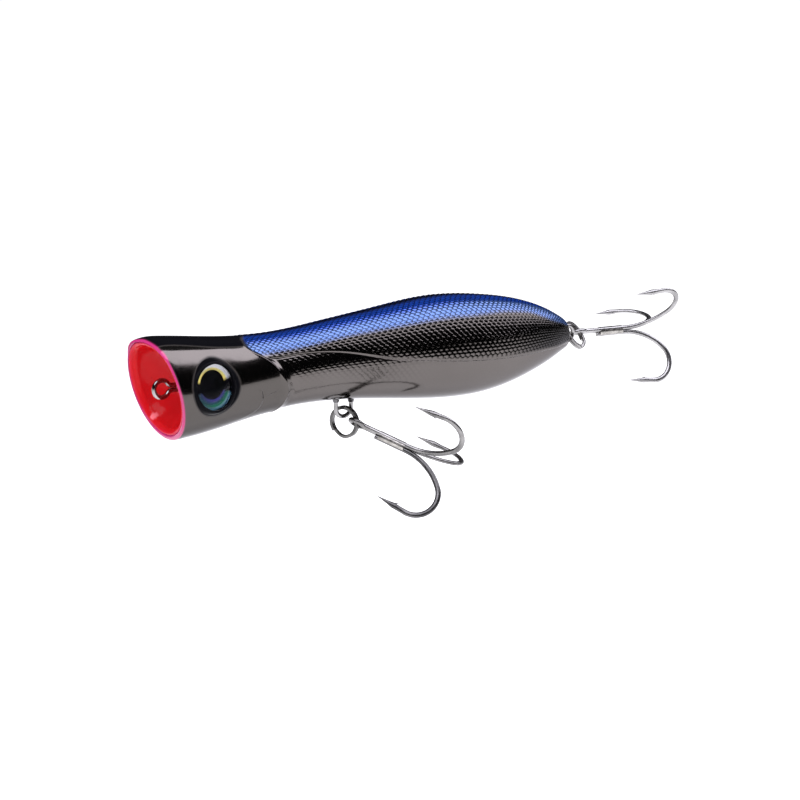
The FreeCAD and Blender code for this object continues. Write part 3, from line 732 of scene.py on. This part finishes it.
# ==== wires: rings and hooks ====
def trace(start, heading, moves, step):
    """Points and headings along lines and arcs; step is the angle between an arc's points."""
    points, headings = [start], [heading]
    for move in moves:
        if move[0] == "line":
            count = max(2, int(move[1] / 0.8))
            for k in range(1, count + 1):
                points.append(start + heading * move[1] * k / count)
                headings.append(heading)
        else:
            radius, angle = move[1], math.radians(move[2])
            side = unit(move[3] - heading * float(heading @ move[3]))
            centre = start + side * radius
            count = max(2, int(abs(move[2]) / step))
            first = heading
            for k in range(1, count + 1):
                t = angle * k / count
                points.append(centre - side * radius * math.cos(t) + first * radius * math.sin(t))
                headings.append(first * math.cos(t) + side * math.sin(t))
            heading = headings[-1]
        start = points[-1]
    return np.array(points), np.array(headings)


def oval(share, tall, wide):
    """Radius of an ellipse where the direction's share of the wide axis is given."""
    return 1.0 / np.sqrt((1.0 - share ** 2) / tall ** 2 + share ** 2 / wide ** 2)


def sweep(points, headings, outline):
    """Closed tube; outline(k, around) gives the distances from the path's point k."""
    theta = full_turn(TUBE_SIDES)
    helper = Z_AXIS if abs(headings[0][2]) < 0.9 else X_AXIS
    first = unit(np.cross(headings[0], helper))
    rings = []
    for k, (p, t) in enumerate(zip(points, headings)):
        first = unit(first - t * float(first @ t))
        second = np.cross(t, first)
        around = np.cos(theta)[:, None] * first + np.sin(theta)[:, None] * second
        rings.append(p + around * outline(k, around)[:, None])
    return capped_tube(np.array(rings))


def merge(parts):
    """Joins several (points, faces) into one."""
    points, faces, base = [], [], 0
    for p, f in parts:
        points.append(p)
        faces += [tuple(int(i) + base for i in face) for face in f]
        base += len(p)
    return np.concatenate(points), faces


def ring_frame(ring):
    axis = direction(ring[1], ring[2])
    across = unit(np.cross(axis, Z_AXIS))
    return ring[0], axis, across, unit(np.cross(across, axis))


def split_ring(ring):
    """One flat wire wound into two coils, with a step where it crosses over."""
    centre, axis, across, upward = ring_frame(ring)
    turn = np.radians(np.linspace(*RING_WOUND, 240))
    crossing = smooth(np.degrees(turn), *RING_CROSSING)
    lift = (0.5 * RING_COIL + RING_GAP) * (1.0 - 2.0 * crossing)
    place = turn + math.radians(ring[3])
    radial = np.cos(place)[:, None] * across + np.sin(place)[:, None] * upward
    path = centre + radial * RING_MIDDLE + axis * lift[:, None]
    flat_wide = 0.5 * (RING_OUTER - RING_INNER) - RING_CORNER
    flat_tall = 0.5 * RING_COIL - RING_CORNER
    section = []
    for cx, cy, start in ((1, 1, 0.0), (-1, 1, 90.0), (-1, -1, 180.0), (1, -1, 270.0)):
        for a in np.radians(start + np.array([0.0, 30.0, 60.0, 90.0])):
            section.append((cx * flat_wide + RING_CORNER * math.cos(a),
                            cy * flat_tall + RING_CORNER * math.sin(a)))
    section = np.array(section)
    return capped_tube(path[:, None] + radial[:, None] * section[:, :1] + axis * section[:, 1:])


def treble_frame(treble):
    """Where a treble's shank begins, its direction, and the directions of the three prongs."""
    ring, angle, slack, azimuth, pitch, roll = treble
    shank = direction(azimuth, -pitch)
    sideways = unit(np.cross(shank, Z_AXIS))
    upward = np.cross(sideways, shank)
    radials = [upward * math.cos(a) + sideways * math.sin(a)
               for a in (math.radians(roll + 120.0 * k) for k in range(3))]
    centre, _, across, up = ring_frame(ring)
    a = math.radians(angle)
    hang = centre + (across * math.cos(a) + up * math.sin(a)) * RING_MIDDLE
    origin = hang - shank * slack - (radials[1] + radials[2]) * (0.5 * HOOK_OFFSET)
    return origin, shank, radials


def hook_line(treble, k, start):
    """Path of one prong: shank from start, flare, bend, and the point as a straight."""
    origin, shank, radials = treble_frame(treble)
    begin = origin + shank * start + radials[k] * HOOK_OFFSET
    moves = [
        ("line", HOOK_SHANK - start),
        ("arc", HOOK_FLARE_RADIUS, HOOK_FLARE_ANGLE, radials[k]),
        ("arc", HOOK_BEND_RADIUS, HOOK_TOTAL_TURN - HOOK_FLARE_ANGLE, radials[k]),
        ("line", HOOK_POINT - HOOK_TAPER),
    ]
    points, headings = trace(begin, shank, moves, 4.0)
    tip = np.linspace(0.0, 1.0, 15)[1:]
    points = np.concatenate([points, points[-1] + headings[-1] * (HOOK_TAPER * tip)[:, None]])
    headings = np.concatenate([headings, np.repeat(headings[-1:], len(tip), 0)])
    return points, headings


def hook_outline(treble, parts):
    """Distances from the path: round wire, forged oval in the bends, needle points."""
    _, shank, radials = treble_frame(treble)

    def outline(k, around):
        which, from_start, to_tip = parts[k]
        if which is None:
            return np.full(len(around), HOOK_WIRE)
        low, high = FORGED_FROM_SHANK
        forged = smooth(from_start, HOOK_SHANK + low, HOOK_SHANK + high)
        forged = float(forged * smooth(to_tip, *FORGED_FROM_TIP))
        tall = HOOK_WIRE + (HOOK_FORGED_TALL - HOOK_WIRE) * forged
        wide = HOOK_WIRE + (HOOK_FORGED_WIDE - HOOK_WIRE) * forged
        taper = NEEDLE + (1.0 - NEEDLE) * min(1.0, to_tip / HOOK_TAPER) ** 0.82
        taper *= 1.0 + HOOK_SPEAR * float(bell(to_tip - HOOK_TAPER, HOOK_SPEAR_WIDTH))
        return taper * oval(around @ np.cross(shank, radials[which]), tall, wide)

    return outline


def prong_parts(which, points, start):
    """Prong, distance from the eye and distance left to the tip, at each point."""
    length = np.concatenate([[0.0], np.cumsum(np.linalg.norm(np.diff(points, axis=0), axis=1))])
    return [(which, start + d, length[-1] - d) for d in length]


def barb(points, headings, radial):
    """A sliver raised from the side of the point that faces the shank."""
    heading = headings[-1]
    inward = unit(-(radial - heading * float(radial @ heading)))
    root = points[-1] - heading * BARB_FROM_TIP + inward * BARB_ROOT
    lean = unit(-heading * 0.93 + inward * 0.40)
    reach = np.linspace(0.0, 1.0, BARB_STEPS)
    path = root + lean * (BARB_LENGTH * reach)[:, None] + inward * (BARB_CURL * reach ** 2)[:, None]
    flat = np.cross(heading, inward)

    def outline(k, around):
        size = BARB_WIDTH * (1.0 - reach[k]) ** 0.8 + 0.015
        return size * oval(around @ flat, BARB_FLAT, 1.0)

    return sweep(path, np.repeat(lean[None], BARB_STEPS, 0), outline)


def single_hook(treble):
    prong = hook_line(treble, 0, SINGLE_HOOK_START)
    parts = prong_parts(0, prong[0], SINGLE_HOOK_START)
    tube = sweep(*prong, hook_outline(treble, parts))
    return merge([tube, barb(*prong, treble_frame(treble)[2][0])])


def double_hook(treble):
    """One wire: point, bend, shank, eye, shank, bend, point."""
    _, shank, radials = treble_frame(treble)
    lane = 0.5 * np.linalg.norm(radials[1] - radials[2]) * HOOK_OFFSET
    side = unit(radials[1] - radials[2])
    angle = math.acos((lane + HOOK_EYE_NECK) / (HOOK_EYE_RADIUS + HOOK_EYE_NECK))
    neck = (HOOK_EYE_RADIUS + HOOK_EYE_NECK) * math.sin(angle)
    turn = math.degrees(angle)
    first = hook_line(treble, 1, neck)
    second = hook_line(treble, 2, neck)
    eye, eye_headings = trace(first[0][0], -shank, [
        ("arc", HOOK_EYE_NECK, turn, side),
        ("arc", HOOK_EYE_RADIUS, 180.0 + 2.0 * turn, -side),
        ("arc", HOOK_EYE_NECK, turn, -side),
    ], 6.0)
    parts = prong_parts(1, first[0], neck)[::-1] + [(None, 0.0, 0.0)] * (len(eye) - 2)
    parts += prong_parts(2, second[0], neck)
    points = np.concatenate([first[0][::-1], eye[1:-1], second[0]])
    headings = np.concatenate([-first[1][::-1], eye_headings[1:-1], second[1]])
    tube = sweep(points, headings, hook_outline(treble, parts))
    return merge([tube, barb(*first, radials[1]), barb(*second, radials[2])])


# ==== materials ====
class Look:
    """A material made of nodes, with the few helpers that the looks share."""

    def __init__(self, name):
        self.material = bpy.data.materials.new(name)
        self.material.use_nodes = True
        self.tree = self.material.node_tree
        self.surface = self.tree.nodes["Principled BSDF"]

    def add(self, kind, settings=None, **inputs):
        node = self.tree.nodes.new("ShaderNode" + kind)
        for key, value in (settings or {}).items():
            setattr(node, key, value)
        for key, value in inputs.items():
            self.feed(node, key.replace("_", " "), value)
        return node

    def feed(self, node, key, value):
        """Links or sets an input; a colour is given as three numbers."""
        socket = node.inputs[key]
        if isinstance(value, bpy.types.NodeSocket):
            self.tree.links.new(value, socket)
        elif socket.type == "RGBA":
            socket.default_value = (*value, 1.0)
        else:
            socket.default_value = value

    def place(self):
        return self.add("TexCoord").outputs["Object"]

    def noise(self, scale, detail=4.0):
        node = self.add("TexNoise", Vector=self.place(), Scale=scale, Detail=detail, Roughness=0.55)
        return node.outputs["Fac"]

    def field(self, name):
        return self.add("Attribute", {"attribute_name": name}).outputs["Fac"]

    def range(self, value, low, high, to_low=0.0, to_high=1.0):
        node = self.add("MapRange", {"clamp": True}, Value=value, From_Min=low, From_Max=high,
                        To_Min=to_low, To_Max=to_high)
        return node.outputs["Result"]

    def mix(self, share, a, b, kind="MIX"):
        node = self.add("Mix", {"data_type": "RGBA", "blend_type": kind})
        for index, value in ((0, share), (6, a), (7, b)):
            self.feed(node, index, value)
        return node.outputs[2]

    def math(self, operation, a, b=0.0):
        node = self.add("Math", {"operation": operation})
        self.feed(node, 0, a)
        self.feed(node, 1, b)
        return node.outputs[0]

    def length(self, a, b):
        squares = [self.math("MULTIPLY", v, v) for v in (a, b)]
        return self.math("SQRT", self.math("ADD", *squares))

    def mottle(self, scale, a, b, detail=4.0):
        """Two colours in noise patches of a scale per metre."""
        return self.mix(self.noise(scale, detail), a, b)

    def polish(self, scale, low, high, detail=4.0):
        """Roughness that varies between two values."""
        return self.range(self.noise(scale, detail), 0.3, 0.7, low, high)

    def done(self, bump=None, **inputs):
        """The material, with its surface set; bump is scale, detail, distance, strength."""
        if bump:
            node = self.add("Bump", Height=self.noise(*bump[:2]), Distance=bump[2] * MM,
                            Strength=bump[3])
            inputs["Normal"] = node.outputs[0]
        for key, value in inputs.items():
            self.feed(self.surface, key.replace("_", " "), value)
        return self.material


def plating_look():
    """Dark mirror plating with a black back and blue pearl over the upper flank, and painted shade
    round the eyes, low on the head, on the scaled tail and at the scales' rear edges.
    """
    look = Look("body_plating")
    haze = look.noise(55.0, 5.0)
    steel = look.mix(haze, (0.068, 0.061, 0.056), (0.088, 0.080, 0.074))
    # Painted shade: darker steel low on the head.
    steel = look.mix(look.field("head_painted_shade"), steel, (0.055, 0.050, 0.045))
    # Painted shade: near-black steel on the scaled tail.
    steel = look.mix(look.field("tail_painted_shade"), steel, (0.014, 0.013, 0.013))
    pale = look.mix(haze, (0.045, 0.095, 0.25), (0.075, 0.130, 0.31))
    deep = look.mix(haze, (0.002, 0.028, 0.22), (0.005, 0.044, 0.32))
    pearl = look.mix(look.field("deep_blue"), pale, deep)
    names = ("blue_pearl", "black_back_and_eye_shade", "lip", "groove_shade")
    blue, black, lip, groove_shade = (look.field(name) for name in names)
    paint = look.mix(blue, steel, pearl)
    # The black field holds the back's black paint and the painted shade round the eyes.
    paint = look.mix(black, paint, (0.0022, 0.0022, 0.003))
    paint = look.mix(lip, paint, (0.36, 0.022, 0.12))
    # Painted shade: the base colour darkens at each scale's rear edge.
    shade = look.range(groove_shade, 0.0, 1.0, 1.0, 0.08)
    shade = look.add("CombineColor", Red=shade, Green=shade, Blue=shade).outputs[0]
    pigment = look.math("MULTIPLY", blue, 0.35)
    bare = look.math("SUBTRACT", look.range(black, 0.0, 1.0, 1.0, 0.0), pigment)
    return look.done(
        (260.0, 3.0, 0.012, 0.35),
        Base_Color=look.mix(1.0, paint, shade, "MULTIPLY"),
        Metallic=look.math("SUBTRACT", bare, lip),
        Roughness=look.polish(900.0, 0.11, 0.17, 3.0),
        Specular_IOR_Level=look.range(black, 0.0, 1.0, 0.5, 0.012),
        Specular_Tint=(0.55, 0.55, 0.56),
        Coat_Weight=look.range(look.math("MAXIMUM", groove_shade, black), 0.0, 1.0, 0.25, 0.0),
        Coat_Roughness=0.06,
        Coat_IOR=1.4,
    )


def gloss_black_look():
    look = Look("socket_black")
    black = look.mottle(400.0, (0.0015, 0.0015, 0.002), (0.003, 0.003, 0.004))
    rough = look.polish(900.0, 0.06, 0.12)
    return look.done(Base_Color=black, Roughness=rough, Specular_IOR_Level=0.02)


def cup_look():
    """Glossy red plastic, pinker at the thin rim, where light comes through."""
    look = Look("cup_red")
    red = look.mottle(120.0, (0.36, 0.0045, 0.007), (0.47, 0.007, 0.010))
    red = look.mix(look.field("pink_rim"), red, (0.40, 0.018, 0.085))
    red = look.mix(look.field("stud"), red, (0.62, 0.13, 0.16))
    return look.done(
        (180.0, 2.0, 0.03, 0.4), Base_Color=red, Roughness=look.polish(700.0, 0.10, 0.18),
        Specular_IOR_Level=0.06, Coat_Weight=0.02, Coat_Roughness=0.04, Subsurface_Weight=0.25,
        Subsurface_Radius=(1.0, 0.12, 0.10), Subsurface_Scale=1.5 * MM)


def iris_look():
    """Holographic foil: pale and gold above, green and violet below, a painted dark reflection at
    its left and right sides, a black pupil.
    """
    look = Look("iris_foil")
    u, v = look.field("eye_u"), look.field("eye_v")
    spread = look.length(u, v)
    tilt = look.math("DIVIDE", v, look.math("MAXIMUM", spread, 0.05))
    bands = []
    for stops in (FOIL_ABOVE, FOIL_BELOW):
        ramp = look.add("ValToRGB", Fac=spread)
        elements = ramp.color_ramp.elements
        while len(elements) < len(stops):
            elements.new(0.5)
        for element, (place, rgb) in zip(elements, stops):
            element.position = place
            element.color = (*rgb, 1.0)
        bands.append(ramp.outputs[0])
    above, below = bands
    below = look.mix(look.range(u, -0.55, 0.05, 0.75, 0.0), below, (0.025, 0.035, 0.075))
    foil = look.mix(look.range(tilt, -0.1, 0.1), below, above)
    sparkle = look.add("TexVoronoi", Vector=look.place(), Scale=2600.0)
    foil = look.mix(0.12, foil, sparkle.outputs["Color"], "OVERLAY")
    # Painted dark reflection: the foil goes dark at its left and right sides.
    sides = look.range(look.math("ABSOLUTE", tilt), 0.26, 0.42)
    foil = look.mix(sides, (0.004, 0.004, 0.006), foil)
    away = look.length(u, look.math("SUBTRACT", v, PUPIL_RISE))
    pupil = look.range(away, PUPIL_SHARE - PUPIL_EDGE, PUPIL_SHARE + PUPIL_EDGE)
    foil = look.mix(pupil, (0.002, 0.002, 0.003), foil)
    return look.done(Base_Color=foil, Roughness=0.32, Specular_IOR_Level=0.05)


def lens_look():
    look = Look("lens_clear")
    return look.done(Base_Color=(0.97, 0.98, 1.0), Roughness=look.polish(600.0, 0.0, 0.02),
                     Transmission_Weight=1.0, IOR=LENS_IOR)


def metal_look(name, dark, light, rough_low, rough_high, patches=160.0):
    """Plated wire: patchy tone and small pits."""
    look = Look(name)
    speck = look.noise(1500.0, 3.0)
    tone = look.range(look.noise(patches, 6.0), 0.32, 0.68)
    paint = look.mix(tone, dark, light)
    pit = tuple(0.5 * c for c in dark)
    paint = look.mix(look.range(speck, 0.62, 0.75, 0.0, 0.5), paint, pit)
    return look.done((700.0, 4.0, 0.015, 0.5), Base_Color=paint, Metallic=1.0,
                     Roughness=look.range(speck, 0.3, 0.7, rough_low, rough_high))


def resin_look(name, tint, rough):
    look = Look(name)
    return look.done(
        (220.0, 3.0, 0.05, 0.5), Base_Color=look.mottle(300.0, tint, tuple(0.7 * c for c in tint)),
        Roughness=look.polish(800.0, rough, rough + 0.1), Coat_Weight=0.7, Coat_Roughness=0.05)


def cast_look():
    """Cast ballast metal, grey and pitted."""
    look = Look("ballast_metal")
    grey = look.mottle(250.0, (0.16, 0.16, 0.17), (0.34, 0.34, 0.35), 6.0)
    return look.done((420.0, 5.0, 0.15, 0.8), Base_Color=grey, Metallic=0.9,
                     Roughness=look.polish(500.0, 0.45, 0.7))


# ==== building ====
def build_body():
    plating = plating_look()
    for side, label in SIDES:
        mesh = make_mesh("shell_" + label, *body_shell(side))
        make_piece(mesh, plating, "lure_body", ["body_half_" + label], 55.0)


def build_eyes():
    parts = (
        ("eye_socket_", eye_socket, gloss_black_look(), "body_plating", None, 50.0),
        ("iris_", eye_iris, iris_look(), "iris_foil", "_eye_iris", 40.0),
        ("lens_", eye_lens, lens_look(), "lens_clear", "_eye_lens", 40.0),
    )
    for side, label in SIDES:
        for prefix, build, material, slot, node, sharp in parts:
            mesh = make_mesh(prefix + label, *build(side), weld=0.001)
            make_piece(mesh, material, "lure_body", [label + node] if node else [], sharp)


def build_cup():
    mesh = make_mesh("cup", *mouth_cup(), weld=0.001)
    make_piece(mesh, cup_look(), "lure_body", ["mouth_cup"], 60.0)


def build_tackle(metal):
    sets = (
        # Painted shade and light: the belly's ring and single hook take darker copies of the steel,
        # the tail's hooks a brighter one.
        ("belly", BELLY_RING, BELLY_TREBLE, "ring_steel_painted_shade", "hook_steel", "hook_steel_painted_shade"),
        ("tail", TAIL_RING, TAIL_TREBLE, "ring_steel", "hook_steel_painted_light", "hook_steel_painted_light"),
    )
    for label, ring, treble, ring_look, double_look, single_look in sets:
        mesh = make_mesh(label + "_ring_coils", *split_ring(ring), weld=0.0005)
        nodes = [label + "_split_ring"]
        make_piece(mesh, metal[ring_look], label + "_ring", nodes, 50.0)
        hooks = (("double", double_hook, double_look), ("single", single_hook, single_look))
        for kind, build, look in hooks:
            mesh = make_mesh(f"{label}_{kind}_hook_wire", *build(treble), weld=0.0005)
            nodes = [f"{label}_treble_{kind}_hook"]
            make_piece(mesh, metal[look], label + "_treble", nodes, 60.0)


def dress_cad_nodes(metal):
    """Gives the CAD nodes that stay their materials."""
    looks = (
        (metal["wire_steel"], ["through_wire"]),
        (resin_look("epoxy", (0.34, 0.28, 0.28), 0.10), ["nose_seal", "tail_seal"]),
        (resin_look("epoxy_dark", (0.035, 0.033, 0.035), 0.12), ["belly_leg_collars"]),
        (cast_look(), ["belly_ballast", "tail_ballast"]),
        (metal["ball_steel"], ["rattle_ball_front", "rattle_ball_middle", "rattle_ball_rear"]),
        (metal["braze_metal"], ["belly_treble_braze", "tail_treble_braze"]),
    )
    for material, names in looks:
        for name in names:
            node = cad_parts[name]
            for slot in node.material_slots:
                slot.material = material
            if not node.material_slots:
                node.data.materials.append(material)


def panel_light(name, low, high, radiance, tint):
    """A level rectangular softbox that shines down, from corner low to corner high."""
    size = [(high[i] - low[i]) * MM for i in range(2)]
    data = bpy.data.lights.new(name, "AREA")
    data.shape = "RECTANGLE"
    data.size, data.size_y = size
    data.energy = radiance * math.pi * size[0] * size[1]
    data.color = tint
    lamp = bpy.data.objects.new(name, data)
    lamp.location = [0.5 * (low[i] + high[i]) * MM for i in range(2)] + [LIGHT_Z * MM]
    bpy.context.collection.objects.link(lamp)


def build_floor():
    near, far = FLOOR_FRONT, FLOOR_FAR
    corners = [(x, y, FLOOR_Z) for x, y in ((-far, near), (far, near), (far, far), (-far, far))]
    mesh = make_mesh("floor", corners, [(0, 1, 2, 3)])
    floor = bpy.data.objects.new("floor", mesh)
    bpy.context.collection.objects.link(floor)
    grey = (0.88, 0.88, 0.88)
    pale = Look("floor_pale").done(Base_Color=grey, Roughness=0.9, Specular_IOR_Level=0.0)
    mesh.materials.append(pale)


def build_world():
    """A pale surround that the plating reflects as dark."""
    world = bpy.data.worlds.new("studio")
    bpy.context.scene.world = world
    world.use_nodes = True
    nodes, links = world.node_tree.nodes, world.node_tree.links
    pick = nodes.new("ShaderNodeMix")
    pick.data_type = "RGBA"
    pick.inputs[6].default_value = (*WORLD_SEEN, 1.0)
    pick.inputs[7].default_value = (*WORLD_REFLECTED, 1.0)
    links.new(nodes.new("ShaderNodeLightPath").outputs["Is Glossy Ray"], pick.inputs[0])
    links.new(pick.outputs[2], nodes["Background"].inputs["Color"])


def build_camera():
    back = direction(CAMERA_AZIMUTH - 90.0, CAMERA_ELEVATION)
    data = bpy.data.cameras.new("camera")
    data.lens = CAMERA_LENS
    data.sensor_width = SENSOR_WIDTH
    data.clip_end = 200.0
    camera = bpy.data.objects.new("camera", data)
    camera.location = Vector((CAMERA_AIM + back * CAMERA_DISTANCE) * MM)
    camera.rotation_euler = Vector(back).to_track_quat("Z", "Y").to_euler()
    bpy.context.collection.objects.link(camera)
    bpy.context.scene.camera = camera


metals = {name: metal_look(name, *values) for name, values in METALS.items()}
build_body()
build_eyes()
build_cup()
build_tackle(metals)
dress_cad_nodes(metals)
panel_light("softbox", *SOFTBOX)
panel_light("top_panel", *TOP_PANEL)
build_floor()
build_world()
build_camera()
bpy.context.scene.view_settings.view_transform = "Standard"
